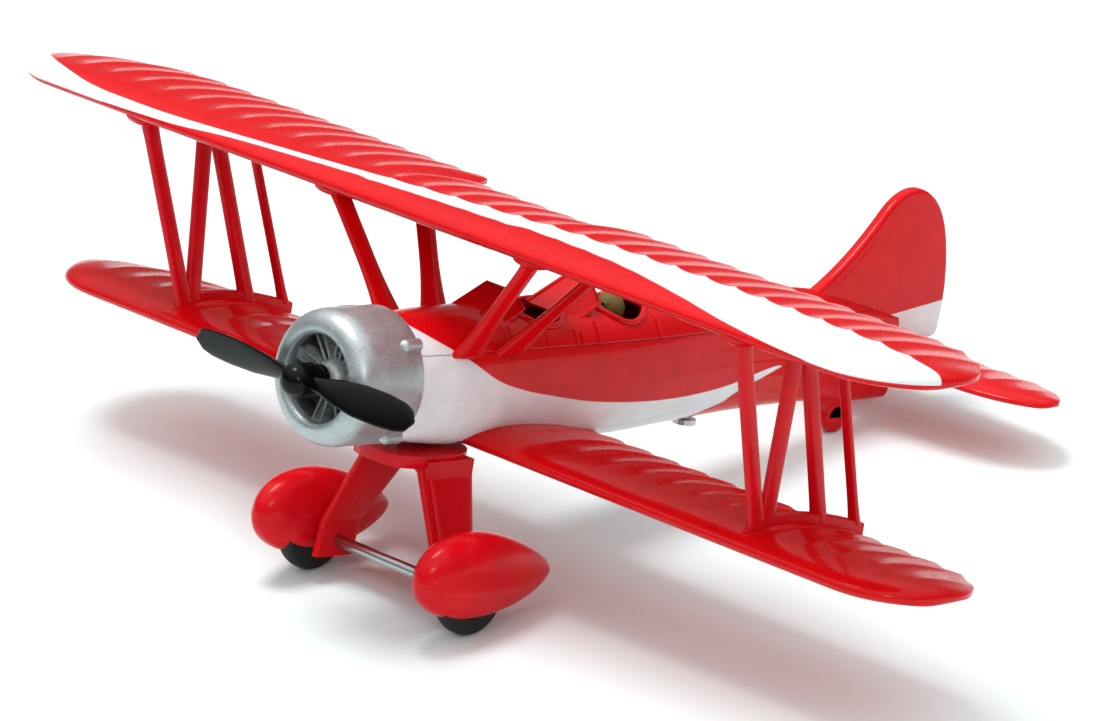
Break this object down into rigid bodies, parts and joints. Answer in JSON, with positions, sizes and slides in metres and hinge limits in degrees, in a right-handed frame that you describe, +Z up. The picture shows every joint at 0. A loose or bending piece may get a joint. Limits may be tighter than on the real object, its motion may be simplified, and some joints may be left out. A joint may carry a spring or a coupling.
{
  "type": "biplane scale model",
  "caption": "Small die-cast two-seat biplane with a radial engine in a ring cowl, N struts, wheel spats, a turning propeller and a turning axle with its wheels.",
  "frame": {"origin": "bottom centre of the model's box, on the surface that its two main wheels and its tail wheel stand on", "axes": "+X to the port wing tip, -Y to the nose, +Z up; the fuselage stands nose-up on its wheels"},
  "size_m": [0.136, 0.1008, 0.0434],
  "materials": {
    "red_enamel": "gloss red enamel on zinc die-casting",
    "white_enamel": "gloss white enamel on zinc die-casting",
    "silver_paint": "silver metallic paint with fine flake",
    "dark_metal_paint": "dark grey metallic paint",
    "red_plastic": "self-coloured red plastic, satin moulded",
    "black_plastic": "gloss black plastic",
    "dark_plastic": "matt dark plastic",
    "figure_paint": "matt khaki painted plastic figure",
    "axle_steel": "bright drawn steel rod",
    "screw_steel": "plated steel",
    "wheel_rubber": "matt black"
  },
  "bodies": {
    "airframe": {"deck_casting": "red_enamel", "body_casting": "white_enamel", "cockpit_tub": "dark_plastic", "front_seat": "dark_plastic", "rear_seat": "dark_plastic", "pilot_figure": "figure_paint", "front_windscreen": "red_enamel", "rear_windscreen": "red_enamel", "fin_and_rudder": "red_enamel", "tailplane": "red_enamel", "upper_wing": "red_enamel", "lower_wing": "red_enamel", "strut_frame_left": "red_plastic", "strut_frame_right": "red_plastic", "cabane_front_left": "red_enamel", "cabane_front_right": "red_enamel", "cabane_rear_left": "red_enamel", "cabane_rear_right": "red_enamel", "cowl": "silver_paint", "engine_cylinders": "dark_metal_paint", "crankcase": "dark_metal_paint", "undercarriage": "red_plastic", "spat_left": "red_plastic", "spat_right": "red_plastic", "tail_wheel": "red_plastic", "front_screw": "screw_steel", "rear_screw": "screw_steel"},
    "propeller": {"propeller": "black_plastic", "propeller_shaft": "axle_steel"},
    "wheelset": {"axle": "axle_steel", "wheel_left": "wheel_rubber", "wheel_right": "wheel_rubber"}
  },
  "joints": [
    {"name": "propeller_spin", "type": "hinge", "parent": "airframe", "child": "propeller", "pos_m": [0, -0.04764, 0.02863], "axis": [0, -0.9768, 0.214], "continuous": true},
    {"name": "axle_spin", "type": "hinge", "parent": "airframe", "child": "wheelset", "pos_m": [0, -0.03567, 0.0043], "axis": [1, 0, 0], "continuous": true}
  ]
}
